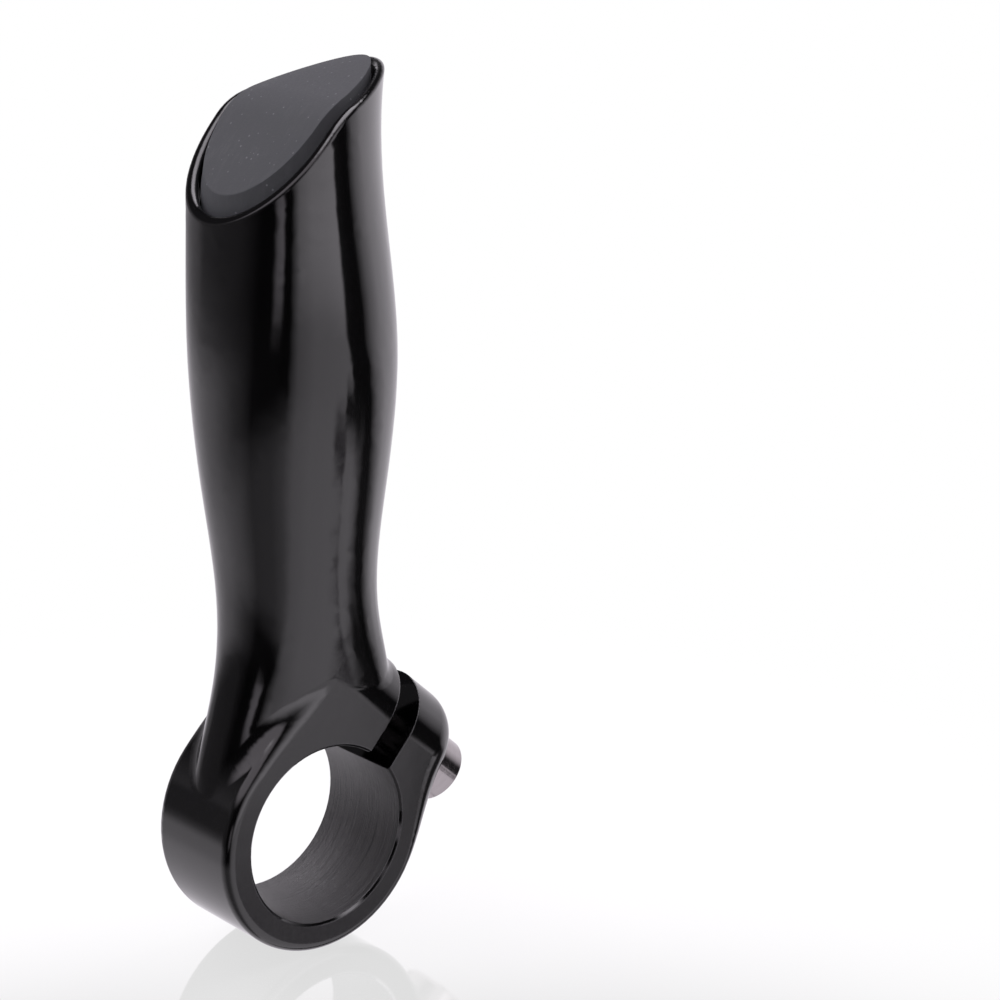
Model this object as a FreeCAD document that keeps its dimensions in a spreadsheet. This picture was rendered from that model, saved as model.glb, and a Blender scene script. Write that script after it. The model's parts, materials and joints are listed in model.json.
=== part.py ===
import FreeCAD, Part
import math
import os
import Sketcher
from FreeCAD import Placement, Rotation, Vector

# Bicycle bar end: a forged arm with a split clamp, its clamp bolt and a rubber end plug.
# The origin is the middle of the handlebar bore. +Y runs along the bore, +Z along the arm,
# and +X is the side of the clamp lug with the bolt. Lengths in millimetres, angles in degrees.

SIZES = {
    # Clamp ring
    "bore_diameter": 22.2,
    "clamp_width": 14.5,
    "ring_wall": 3.75,
    "ring_edge_round": 1.2,
    "bore_chamfer": 0.35,
    # Slot and lug; the slot leaves the bore at slot_angle above +X
    "slot_angle": 48.0,
    "slot_width": 4.1,
    "slot_shift": 0.87,
    "bolt_offset": 4.3,
    "lug_tilt": 8.0,
    "lug_edge_round": 4.8,
    "boss_edge_round": 3.0,
    "seat_sink": 2.95,
    "seat_diameter": 9.8,
    "ear_hole_diameter": 5.6,
    "thread_hole_depth": 12.0,
    # Clamp bolt
    "thread_diameter": 5.0,
    "thread_clearance": 0.05,
    "shank_length": 20.0,
    "head_diameter": 8.5,
    "head_height": 5.0,
    "head_chamfer": 0.5,
    "socket_width": 4.0,
    "socket_depth": 2.6,
    # Hollow between the arm and the clamp
    "junction_round": 3.5,
    # Open end of the arm: two slopes joined by a bend, seen along Y
    "bend_x": 5.8,
    "bend_z": 78.95,
    "bend_radius": 9.0,
    "low_slope": 48.5,
    "high_slope": 20.0,
    "core_wall": 3.0,
    "rim_width": 1.3,
    "recess_depth": 2.4,
    "rim_round": 0.45,
    # Rubber plug
    "pad_height": 0.9,
    "pad_gap": 0.25,
    "pad_edge_round": 0.6,
    "stem_gap": 0.1,
    "stem_wall": 1.8,
    "stem_foot": 62.0,
}

# Stations up the arm: height, how far the back and the nose stand out past the ring's outer
# radius, how far the sides stand out past the clamp's faces, how much the egg narrows to its
# nose, how far its widest part moves towards the nose, and how much its corners fill out
FIELDS = ("height", "back", "nose", "flare", "taper", "forward", "square")
STATIONS = {
    "root": (3.0, -0.85, -5.85, -1.2, -0.1, 1.0, 0.15),
    "shoulder": (11.0, -2.65, -2.65, -0.6, -0.1, 1.0, 0.15),
    "collar": (18.0, -4.65, -2.55, -0.1, -0.08, 1.0, 0.1),
    "neck": (26.0, -5.95, -3.45, 0.55, 0.0, 0.4, 0.04),
    "throat": (41.0, -4.75, -1.95, 2.15, 0.05, 0.0, 0.0),
    "swell": (58.0, -3.75, -0.45, 3.95, 0.12, 0.4, 0.0),
    "waist": (77.0, -4.65, -1.85, 3.55, 0.3, 0.8, 0.0),
    "crown": (94.0, -3.95, -0.35, 3.65, 0.4, 1.0, 0.0),
}
HOLLOW_STATIONS = ("throat", "swell", "waist", "crown")
SECTION_POINTS = 16
# The back's corners fill out by this share of what the nose's do
BACK_SHARE = 0.6

# Distances that follow from the sizes: the ring's outer radius, the bolt's distance from the
# bore's axis along the slot, and the height of its seat above that axis, along the bolt
RING_RADIUS = "(sizes.bore_diameter / 2 + sizes.ring_wall)"
BOLT_REACH = "(sizes.bore_diameter / 2 + sizes.bolt_offset)"
SEAT_LEVEL = "(sizes.bore_diameter / 2 + sizes.ring_wall - sizes.seat_sink)"

# How far the trimming sketches reach past the arm, in all directions
REACH = 60.0

START, END, CENTRE = range(1, 4)
ORIGIN_POINT = (-1, 1)
X_AXIS = -1


def make_sheet(doc):
    """The spreadsheet of driving dimensions, one named cell each."""
    sheet = doc.addObject("Spreadsheet::Sheet", "sizes")
    cells = dict(SIZES)
    for name, numbers in STATIONS.items():
        for field, number in zip(FIELDS, numbers):
            cells[f"{name}_{field}"] = number
    for row, (alias, number) in enumerate(cells.items(), start=1):
        sheet.set(f"A{row}", alias.replace("_", " "))
        sheet.set(f"B{row}", str(number))
        sheet.setAlias(f"B{row}", alias)
    doc.recompute()
    return sheet


class Drawing:
    """A sketch on one of its body's origin planes, with dimensions bound to the sheet."""

    def __init__(self, body, name, role, sheet):
        self.sheet = sheet
        self.sketch = body.newObject("Sketcher::SketchObject", name)
        plane = next(f for f in body.Origin.OriginFeatures if f.Role == role)
        self.sketch.AttachmentSupport = (plane, [""])
        self.sketch.MapMode = "FlatFace"

    def lift(self, expression):
        """Raise the sketch along its plane's normal."""
        self.sketch.setExpression("AttachmentOffset.Base.z", expression)
        return self

    def tilt_to_slot(self, level="0"):
        """Turn an XY sketch so that its X runs out along the slot and its normal points
        against the bolt's head; level moves it along the bolt, towards the head."""
        self.sketch.AttachmentOffset = Placement(Vector(), Rotation(Vector(0, 1, 0), -1))
        self.sketch.setExpression("AttachmentOffset.Rotation.Angle", "-sizes.slot_angle")
        self.sketch.setExpression("AttachmentOffset.Base.x", f"{level} * sin(sizes.slot_angle)")
        self.sketch.setExpression("AttachmentOffset.Base.z", f"-{level} * cos(sizes.slot_angle)")
        return self

    def line(self, a, b):
        return self.sketch.addGeometry(Part.LineSegment(Vector(*a, 0), Vector(*b, 0)), False)

    def circle(self, centre, radius):
        return self.sketch.addGeometry(Part.Circle(Vector(*centre, 0), Vector(0, 0, 1), radius), False)

    def arc(self, centre, radius, first, last):
        """An arc from one angle to another, anticlockwise, in degrees."""
        ring = Part.Circle(Vector(*centre, 0), Vector(0, 0, 1), radius)
        turn = Part.ArcOfCircle(ring, math.radians(first), math.radians(last))
        return self.sketch.addGeometry(turn, False)

    def rule(self, *parts):
        return self.sketch.addConstraint(Sketcher.Constraint(*parts))

    def size(self, name, expression, *parts):
        """A dimension with a name of its own, driven by an expression on the sheet."""
        index = self.rule(*parts)
        self.sketch.renameConstraint(index, name)
        self.sketch.setExpression(f"Constraints.{name}", expression)

    def chain(self, joints):
        """Join end points: pairs of (edge, point)."""
        for (edge_a, point_a), (edge_b, point_b) in joints:
            self.rule("Coincident", edge_a, point_a, edge_b, point_b)


def ring_radius(sheet):
    return sheet.get("bore_diameter") / 2 + sheet.get("ring_wall")


def bolt_reach(sheet):
    return sheet.get("bore_diameter") / 2 + sheet.get("bolt_offset")


def polar(radius, angle):
    return (radius * math.cos(math.radians(angle)), radius * math.sin(math.radians(angle)))


def egg_ring(station, inset, sheet):
    """The arm's section at one station, a closed smooth curve, moved inwards all round."""
    size = {field: sheet.get(f"{station}_{field}") for field in FIELDS}
    radius = ring_radius(sheet) - inset
    back, nose = radius + size["back"], radius + size["nose"]
    half_width = sheet.get("clamp_width") / 2 + size["flare"] - inset
    middle, reach = (nose - back) / 2, (nose + back) / 2
    points = []
    for step in range(SECTION_POINTS):
        turn = 2 * math.pi * step / SECTION_POINTS
        share = BACK_SHARE + (1 - BACK_SHARE) * (1 + math.cos(turn)) / 2
        fill = 1 + share * size["square"] * math.sin(2 * turn) ** 2
        x = middle + reach * math.cos(turn) * fill + size["forward"] * math.sin(turn) ** 2
        y = half_width * math.sin(turn) * fill * (1 - size["taper"] * math.cos(turn))
        points.append(Vector(x, y, size["height"]))
    ring = Part.BSplineCurve()
    steps = [step / SECTION_POINTS for step in range(SECTION_POINTS + 1)]
    ring.interpolate(Points=points, PeriodicFlag=True, Parameters=steps)
    return ring


def egg_solid(stations, inset, sheet):
    """One smooth skin drawn up through the stations' sections, closed by flat ends."""
    rings = [egg_ring(station, inset, sheet) for station in stations]
    heights = [sheet.get(f"{station}_height") for station in stations]
    steps = [(height - heights[0]) / (heights[-1] - heights[0]) for height in heights]
    ribs = []
    for poles in zip(*(ring.getPoles() for ring in rings)):
        rib = Part.BSplineCurve()
        rib.interpolate(Points=list(poles), Parameters=steps)
        ribs.append(rib)
    ring, rib = rings[0], ribs[0]
    skin = Part.BSplineSurface()
    skin.buildFromPolesMultsKnots([line.getPoles() for line in ribs],
                                  ring.getMultiplicities(), rib.getMultiplicities(),
                                  ring.getKnots(), rib.getKnots(), True, False, ring.Degree, rib.Degree)
    ends = [Part.Face(Part.Wire(end.toShape())) for end in (rings[0], rings[-1])]
    shell = Part.makeShell([skin.toShape()] + ends)
    shell.sewShape()
    solid = Part.makeSolid(shell)
    if solid.Volume < 0:
        solid.reverse()
    return solid


def egg_form(doc, name, stations, inset, sheet):
    """An egg solid as an object of the document, less the sum of the sheet's insets."""
    form = doc.addObject("Part::Feature", name)
    form.Shape = egg_solid(stations, sum(sheet.get(alias) for alias in inset), sheet)
    return form


def body_from(doc, name, base):
    """A body that starts from another object's shape."""
    body = doc.addObject("PartDesign::Body", name)
    body.BaseFeature = base
    return body


def combine(body, name, kind, tool):
    """Add another body to this one, or cut it away."""
    step = body.newObject("PartDesign::Boolean", name)
    step.Type = kind
    step.Group = [tool]
    return step


def trim(body, name, offset, side, sheet):
    """Cut away everything above or below the open end's sloped line, moved by an offset."""
    sign = 1 if side == "above" else -1
    centre = (sheet.get("bend_x"), sheet.get("bend_z"))
    low, high = sheet.get("low_slope"), sheet.get("high_slope")
    amount = {"rim": 0.0, "pad": sheet.get("pad_height"), "recess": -sheet.get("recess_depth")}[offset]
    wording = {"rim": "", "pad": " + sizes.pad_height", "recess": " - sizes.recess_depth"}[offset]
    radius = sheet.get("bend_radius") + amount
    low_tangent = tuple(c + p for c, p in zip(centre, polar(radius, 90 + low)))
    high_tangent = tuple(c + p for c, p in zip(centre, polar(radius, 90 + high)))
    low_end = (-REACH, low_tangent[1] - (low_tangent[0] + REACH) * math.tan(math.radians(low)))
    high_end = (REACH, high_tangent[1] + (REACH - high_tangent[0]) * math.tan(math.radians(high)))
    far_level = centre[1] + sign * 2 * REACH
    drawing = Drawing(body, f"{name}_profile", "XZ_Plane", sheet)
    low_line = drawing.line(low_end, low_tangent)
    bend = drawing.arc(centre, radius, 90 + high, 90 + low)
    high_line = drawing.line(high_tangent, high_end)
    nose_side = drawing.line(high_end, (REACH, far_level))
    far_side = drawing.line((REACH, far_level), (-REACH, far_level))
    back_side = drawing.line((-REACH, far_level), low_end)
    drawing.rule("Tangent", low_line, END, bend, END)
    drawing.rule("Tangent", bend, START, high_line, START)
    drawing.chain([((high_line, END), (nose_side, START)), ((nose_side, END), (far_side, START)),
                   ((far_side, END), (back_side, START)), ((back_side, END), (low_line, START))])
    drawing.rule("Vertical", nose_side)
    drawing.rule("Vertical", back_side)
    drawing.rule("Horizontal", far_side)
    drawing.rule("DistanceX", *ORIGIN_POINT, low_line, START, -REACH)
    drawing.rule("DistanceX", *ORIGIN_POINT, high_line, END, REACH)
    drawing.rule("DistanceY", bend, CENTRE, far_side, START, sign * 2 * REACH)
    drawing.size("bend_x", "sizes.bend_x", "DistanceX", *ORIGIN_POINT, bend, CENTRE, centre[0])
    drawing.size("bend_z", "sizes.bend_z", "DistanceY", *ORIGIN_POINT, bend, CENTRE, centre[1])
    drawing.size("bend_radius", f"sizes.bend_radius{wording}", "Radius", bend, radius)
    drawing.size("low_slope", "sizes.low_slope", "Angle", low_line, math.radians(low))
    drawing.size("high_slope", "sizes.high_slope", "Angle", high_line, math.radians(high))
    return through_cut(body, name, drawing.sketch)


def through_cut(body, name, sketch):
    """A pocket right through, both ways from its sketch."""
    pocket = body.newObject("PartDesign::Pocket", name)
    pocket.Profile = sketch
    pocket.Type = "ThroughAll"
    pocket.SideType = "Symmetric"
    return pocket


def round_hole(body, name, diameter, sheet, level="0"):
    """A pocket about the bolt's axis, towards its head, from a level along the bolt."""
    drawing = Drawing(body, f"{name}_profile", "XY_Plane", sheet).tilt_to_slot(level)
    reach = bolt_reach(sheet)
    circle = drawing.circle((reach, 0), sheet.get("thread_diameter") / 2)
    drawing.rule("PointOnObject", circle, CENTRE, X_AXIS)
    drawing.size("reach", BOLT_REACH, "DistanceX", *ORIGIN_POINT, circle, CENTRE, reach)
    drawing.size("diameter", diameter, "Diameter", circle, sheet.get("thread_diameter"))
    pocket = body.newObject("PartDesign::Pocket", name)
    pocket.Profile = drawing.sketch
    pocket.Type = "ThroughAll"
    return pocket


def ridge_height(point, sheet):
    """Distance of a point above the rim's sloped line, measured square to it."""
    offset = (point.x - sheet.get("bend_x"), point.z - sheet.get("bend_z"))
    low, high = 90 + sheet.get("low_slope"), 90 + sheet.get("high_slope")
    turn = math.degrees(math.atan2(offset[1], offset[0])) % 360
    normal = min(max(turn, high), low)
    along = offset[0] * math.cos(math.radians(normal)) + offset[1] * math.sin(math.radians(normal))
    return along - sheet.get("bend_radius")


def edge_points(edge):
    first, last = edge.ParameterRange
    return [edge.valueAt(first + (last - first) * share) for share in (0.0, 0.25, 0.5, 0.75, 1.0)]


def named_edges(shape, wanted):
    """Names of the edges whose sample points all satisfy a test."""
    return [f"Edge{number}" for number, edge in enumerate(shape.Edges, start=1)
            if all(wanted(point) for point in edge_points(edge))]


def skin_seams(shape, height):
    """Names of the edges below a height where the arm's skin, the largest face, meets others."""
    skin = max(shape.Faces, key=lambda face: face.Area)
    return [f"Edge{number}" for number, edge in enumerate(shape.Edges, start=1)
            if edge.BoundBox.ZMax < height and any(edge.isSame(other) for other in skin.Edges)]


def round_edges(body, name, pick, radius, doc):
    """Round the edges that pick names on the body's last feature."""
    doc.recompute()
    base = body.Tip
    fillet = body.newObject("PartDesign::Fillet", name)
    fillet.Base = (base, pick(base.Shape))
    fillet.setExpression("Radius", radius)
    return fillet


def clamp_form(doc, sheet):
    """The clamp before boring: a ring that runs out on one side into a rounded lug."""
    body = doc.addObject("PartDesign::Body", "clamp_form")
    width = sheet.get("clamp_width")
    radius = ring_radius(sheet)
    slot, tilt = sheet.get("slot_angle"), sheet.get("lug_tilt")
    reach = bolt_reach(sheet) + width
    outward = Vector(*polar(1, slot), 0)
    head_side = Vector(*polar(1, slot - 90), 0)
    ring_start = polar(radius, slot + 90)
    ring_end = polar(radius, slot + tilt - 90)
    tip_left = outward * reach - head_side * radius
    rise = (reach - Vector(*ring_end, 0).dot(outward)) / math.cos(math.radians(tilt))
    tip_right = Vector(*ring_end, 0) + Vector(*polar(rise, slot + tilt), 0)
    drawing = Drawing(body, "clamp_outline", "XZ_Plane", sheet)
    ring = drawing.arc((0, 0), radius, slot + 90, slot + tilt + 270)
    lug_side = drawing.line(ring_end, (tip_right.x, tip_right.y))
    tip = drawing.line((tip_right.x, tip_right.y), (tip_left.x, tip_left.y))
    arm_side = drawing.line(ring_start, (tip_left.x, tip_left.y))
    drawing.rule("Coincident", ring, CENTRE, *ORIGIN_POINT)
    drawing.rule("Tangent", ring, END, lug_side, START)
    drawing.rule("Tangent", ring, START, arm_side, START)
    drawing.chain([((lug_side, END), (tip, START)), ((tip, END), (arm_side, END))])
    drawing.rule("Perpendicular", tip, arm_side)
    drawing.size("radius", RING_RADIUS, "Radius", ring, radius)
    drawing.size("slot_angle", "sizes.slot_angle", "Angle", arm_side, math.radians(slot))
    drawing.size("lug_angle", "sizes.slot_angle + sizes.lug_tilt",
                 "Angle", lug_side, math.radians(slot + tilt))
    drawing.size("reach", f"{BOLT_REACH} + sizes.clamp_width", "Distance", *ORIGIN_POINT, tip, reach)
    block = body.newObject("PartDesign::Pad", "clamp_block")
    block.Profile = drawing.sketch
    block.SideType = "Symmetric"
    block.setExpression("Length", "sizes.clamp_width")
    # Round the lug about the bolt's axis: cut all that lies beyond a half circle
    centre_x, half = bolt_reach(sheet), width / 2
    far_x, outer = centre_x + 2 * width, width
    drawing = Drawing(body, "lug_corners", "XY_Plane", sheet).tilt_to_slot()
    nose = drawing.arc((centre_x, 0), half, -90, 90)
    corners = [(centre_x, half), (centre_x, outer), (far_x, outer), (far_x, -outer),
               (centre_x, -outer), (centre_x, -half)]
    sides = [drawing.line(a, b) for a, b in zip(corners, corners[1:])]
    drawing.chain([((a, END), (b, START)) for a, b in zip(sides, sides[1:])])
    drawing.chain([((nose, END), (sides[0], START)), ((nose, START), (sides[-1], END))])
    for side in (sides[0], sides[2], sides[4]):
        drawing.rule("Vertical", side)
    for side in (sides[1], sides[3]):
        drawing.rule("Horizontal", side)
    drawing.rule("Equal", sides[0], sides[4])
    drawing.rule("Symmetric", nose, START, nose, END, X_AXIS)
    drawing.rule("Vertical", nose, CENTRE, nose, END)
    drawing.size("reach", BOLT_REACH, "DistanceX", *ORIGIN_POINT, nose, CENTRE, centre_x)
    drawing.size("half_width", "sizes.clamp_width / 2", "Radius", nose, half)
    drawing.size("far", "2 * sizes.clamp_width", "DistanceX", nose, CENTRE, sides[2], START, 2 * width)
    drawing.size("outer", "sizes.clamp_width", "DistanceY", nose, CENTRE, sides[1], START, outer)
    through_cut(body, "lug_rounding", drawing.sketch)
    doc.recompute()
    # Round the outer edges: lightly round the ring, growing along the lug to a full, soft end
    small, large = sheet.get("ring_edge_round"), sheet.get("lug_edge_round")
    boss = sheet.get("boss_edge_round")
    normal = Vector(math.cos(math.radians(slot + tilt - 90)), 0, math.sin(math.radians(slot + tilt - 90)))
    along = Vector(math.cos(math.radians(slot)), 0, math.sin(math.radians(slot)))
    near = 1e-3

    def edge_radius(point):
        if point.dot(along) < centre_x - near:
            return small
        return large if abs(point.dot(normal) - radius) < near else boss

    # The outer edges make one closed line; each one's two radii are given in its order. The
    # other edges are seams between tangent faces, straight along the bolt or along the bore.
    across = along.cross(Vector(0, 1, 0))
    rest = {}
    for number, edge in enumerate(body.Shape.Edges, start=1):
        span = edge.Vertexes[-1].Point - edge.Vertexes[0].Point
        if edge.Length - max(abs(span.dot(across)), abs(span.y)) > near:
            rest[number] = edge
    number = min(rest)
    point = edge_points(rest[number])[0]
    picks = []
    while number:
        first, last = sorted((v.Point for v in rest.pop(number).Vertexes), key=point.distanceToPoint)
        picks.append((number, edge_radius(first), edge_radius(last)))
        point = last
        number = next((n for n, edge in rest.items()
                       if min(v.Point.distanceToPoint(point) for v in edge.Vertexes) < near), None)
    rounded = doc.addObject("Part::Fillet", "clamp_rounded")
    rounded.Base = body
    rounded.Edges = picks
    doc.recompute()
    return rounded


def sloped_form(doc, name, inset, sheet):
    """A solid with the arm's outline, less an inset, standing on the recess floor."""
    body = body_from(doc, name, egg_form(doc, f"{name}_egg", HOLLOW_STATIONS, inset, sheet))
    trim(body, f"{name}_floor", "recess", "below", sheet)
    doc.recompute()
    return body


def make_arm(doc, sheet):
    """The forged arm with its split clamp, hollow towards the open end."""
    forging = doc.addObject("Part::MultiFuse", "forging")
    forging.Shapes = [clamp_form(doc, sheet), egg_form(doc, "arm_form", tuple(STATIONS), (), sheet)]
    doc.recompute()
    body = body_from(doc, "arm_body", forging)
    neck = sheet.get("neck_height")
    round_edges(body, "junction", lambda shape: skin_seams(shape, neck), "sizes.junction_round", doc)
    trim(body, "open_end", "rim", "above", sheet)
    core = egg_form(doc, "core_egg", HOLLOW_STATIONS, ("core_wall",), sheet)
    combine(body, "core", "Cut", body_from(doc, "core_form", core))
    combine(body, "recess", "Cut", sloped_form(doc, "recess_form", ("rim_width",), sheet))
    on_rim = lambda point: abs(ridge_height(point, sheet)) < 1e-3
    round_edges(body, "rim_rounding", lambda shape: named_edges(shape, on_rim), "sizes.rim_round", doc)
    # Bore
    bore = Drawing(body, "bore_profile", "XZ_Plane", sheet)
    circle = bore.circle((0, 0), sheet.get("bore_diameter") / 2)
    bore.rule("Coincident", circle, CENTRE, *ORIGIN_POINT)
    bore.size("diameter", "sizes.bore_diameter", "Diameter", circle, sheet.get("bore_diameter"))
    through_cut(body, "bore", bore.sketch)
    doc.recompute()
    bore_radius = sheet.get("bore_diameter") / 2
    face_y = sheet.get("clamp_width") / 2
    mouth = body.Tip
    chamfer = body.newObject("PartDesign::Chamfer", "bore_mouths")
    chamfer.Base = (mouth, named_edges(mouth.Shape, lambda p: abs(abs(p.y) - face_y) < 1e-3
                                       and abs(math.hypot(p.x, p.z) - bore_radius) < 1e-3))
    chamfer.setExpression("Size", "sizes.bore_chamfer")
    # Slot, from the middle of the bore out past the lug
    slot = Drawing(body, "slot_profile", "XY_Plane", sheet).tilt_to_slot()
    length, half = bolt_reach(sheet) + sheet.get("clamp_width"), sheet.get("clamp_width")
    corners = [(0, -half), (length, -half), (length, half), (0, half)]
    sides = [slot.line(a, b) for a, b in zip(corners, corners[1:] + corners[:1])]
    slot.chain([((a, END), (b, START)) for a, b in zip(sides, sides[1:] + sides[:1])])
    for side in (sides[0], sides[2]):
        slot.rule("Horizontal", side)
    for side in (sides[1], sides[3]):
        slot.rule("Vertical", side)
    slot.rule("Symmetric", sides[0], START, sides[2], END, *ORIGIN_POINT)
    slot.size("length", f"{BOLT_REACH} + sizes.clamp_width", "DistanceX", sides[0], START,
              sides[0], END, length)
    slot.size("width", "2 * sizes.clamp_width", "DistanceY", sides[1], START, sides[1], END, 2 * half)
    cut = body.newObject("PartDesign::Pocket", "slot")
    cut.Profile = slot.sketch
    cut.SideType = "Two sides"
    cut.setExpression("Length", "sizes.slot_width / 2 + sizes.slot_shift")
    cut.setExpression("Length2", "sizes.slot_width / 2 - sizes.slot_shift")
    # Bolt holes: clear through the ear, threaded in the arm, with a seat for the head
    round_hole(body, "ear_hole", "sizes.ear_hole_diameter", sheet)
    thread = round_hole(body, "thread_hole", "sizes.thread_diameter + 2 * sizes.thread_clearance", sheet)
    thread.Type = "Length"
    thread.Reversed = True
    thread.setExpression("Length", "sizes.slot_width / 2 - sizes.slot_shift + sizes.thread_hole_depth")
    round_hole(body, "head_seat", "sizes.seat_diameter", sheet, SEAT_LEVEL)
    return body


def make_bolt(doc, sheet):
    """Socket head cap screw, drawn upright with its head above the seat, then laid in place."""
    body = doc.addObject("PartDesign::Body", "clamp_bolt")
    shank, length = sheet.get("thread_diameter") / 2, sheet.get("shank_length")
    head, height = sheet.get("head_diameter") / 2, sheet.get("head_height")
    bevel = sheet.get("head_chamfer")
    corners = [(0, -length), (shank - bevel, -length), (shank, bevel - length), (shank, 0), (head, 0),
               (head, height - bevel), (head - bevel, height), (0, height)]
    drawing = Drawing(body, "bolt_profile", "XZ_Plane", sheet)
    sides = [drawing.line(a, b) for a, b in zip(corners, corners[1:] + corners[:1])]
    drawing.chain([((a, END), (b, START)) for a, b in zip(sides, sides[1:] + sides[:1])])
    for side in (sides[0], sides[3], sides[6]):
        drawing.rule("Horizontal", side)
    for side in (sides[2], sides[4]):
        drawing.rule("Vertical", side)
    drawing.rule("PointOnObject", sides[7], START, -2)
    drawing.rule("PointOnObject", sides[7], END, -2)
    drawing.rule("PointOnObject", sides[3], START, X_AXIS)
    drawing.size("length", "sizes.shank_length", "DistanceY", sides[0], START, *ORIGIN_POINT, length)
    drawing.size("shank", "sizes.thread_diameter / 2", "DistanceX", *ORIGIN_POINT, sides[2], END, shank)
    drawing.size("head", "sizes.head_diameter / 2", "DistanceX", *ORIGIN_POINT, sides[3], END, head)
    drawing.size("height", "sizes.head_height", "DistanceY", *ORIGIN_POINT, sides[6], START, height)
    drawing.size("tip_in", "sizes.head_chamfer", "DistanceX", sides[1], START, sides[1], END, bevel)
    drawing.size("tip_up", "sizes.head_chamfer", "DistanceY", sides[1], START, sides[1], END, bevel)
    drawing.size("top_in", "sizes.head_chamfer", "DistanceX", sides[5], END, sides[5], START, bevel)
    drawing.size("top_up", "sizes.head_chamfer", "DistanceY", sides[5], START, sides[5], END, bevel)
    turned = body.newObject("PartDesign::Revolution", "turned")
    turned.Profile = drawing.sketch
    turned.ReferenceAxis = (drawing.sketch, ["V_Axis"])
    turned.Angle = 360
    # Hexagon socket
    across = sheet.get("socket_width")
    corner = across / 2 / math.cos(math.radians(30))
    drawing = Drawing(body, "socket_profile", "XY_Plane", sheet).lift("sizes.head_height")
    points = [polar(corner, 60 * k) for k in range(6)]
    sides = [drawing.line(a, b) for a, b in zip(points, points[1:] + points[:1])]
    guide = drawing.circle((0, 0), corner)
    drawing.sketch.setConstruction(guide, True)
    drawing.chain([((a, END), (b, START)) for a, b in zip(sides, sides[1:] + sides[:1])])
    drawing.rule("Coincident", guide, CENTRE, *ORIGIN_POINT)
    for side in sides:
        drawing.rule("PointOnObject", side, START, guide)
    for side in sides[1:]:
        drawing.rule("Equal", sides[0], side)
    drawing.rule("PointOnObject", sides[0], START, X_AXIS)
    drawing.size("corner", "sizes.socket_width / 2 / cos(30)", "Radius", guide, corner)
    socket = body.newObject("PartDesign::Pocket", "socket")
    socket.Profile = drawing.sketch
    socket.setExpression("Length", "sizes.socket_depth")
    body.Placement = Placement(Vector(), Rotation(Vector(0, 1, 0), 1))
    body.setExpression("Placement.Rotation.Angle", "180 - sizes.slot_angle")
    body.setExpression("Placement.Base.x",
                       f"{BOLT_REACH} * cos(sizes.slot_angle) + {SEAT_LEVEL} * sin(sizes.slot_angle)")
    body.setExpression("Placement.Base.z",
                       f"{BOLT_REACH} * sin(sizes.slot_angle) - {SEAT_LEVEL} * cos(sizes.slot_angle)")
    return body


def make_plug(doc, sheet):
    """The rubber end plug: a raised pad in the rim's recess over a hollow stem in the core."""
    stem = egg_form(doc, "stem_egg", HOLLOW_STATIONS, ("core_wall", "stem_gap"), sheet)
    body = body_from(doc, "end_plug", stem)
    core = egg_form(doc, "stem_core_egg", HOLLOW_STATIONS, ("core_wall", "stem_gap", "stem_wall"), sheet)
    combine(body, "stem_core", "Cut", body_from(doc, "stem_core_form", core))
    foot = Drawing(body, "stem_foot_profile", "XY_Plane", sheet).lift("sizes.stem_foot")
    circle = foot.circle((0, 0), REACH)
    foot.rule("Coincident", circle, CENTRE, *ORIGIN_POINT)
    foot.rule("Radius", circle, REACH)
    cut = body.newObject("PartDesign::Pocket", "stem_foot")
    cut.Profile = foot.sketch
    cut.Type = "ThroughAll"
    combine(body, "pad", "Fuse", sloped_form(doc, "pad_form", ("rim_width", "pad_gap"), sheet))
    trim(body, "pad_top", "pad", "above", sheet)
    pad_height = sheet.get("pad_height")
    on_top = lambda point: abs(ridge_height(point, sheet) - pad_height) < 1e-3
    round_edges(body, "pad_rounding", lambda shape: named_edges(shape, on_top),
                "sizes.pad_edge_round", doc)
    return body


def check(doc, bodies):
    """Stop with the names of anything that failed to build."""
    failed = [o.Name for o in doc.Objects if {"Invalid", "Error"} & set(o.State)]
    if failed:
        raise RuntimeError(f"these objects failed to build: {failed}")
    for body in bodies:
        if body.Shape.isNull() or not body.Shape.isValid():
            raise RuntimeError(f"{body.Label} has no valid shape")


def main():
    doc = FreeCAD.newDocument("bar_end")
    sheet = make_sheet(doc)
    bodies = [make_arm(doc, sheet), make_bolt(doc, sheet), make_plug(doc, sheet)]
    doc.recompute()
    check(doc, bodies)
    os.makedirs("parts", exist_ok=True)
    for body in bodies:
        body.Shape.exportStep(f"parts/{body.Label}.step")
        solid = body.Shape
        print(body.Label, "solids", len(solid.Solids), "volume", round(solid.Volume, 1), solid.BoundBox)


main()
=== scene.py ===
import json
import math

import bmesh
import bpy
import numpy as np
from mathutils import Matrix, Vector


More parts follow.
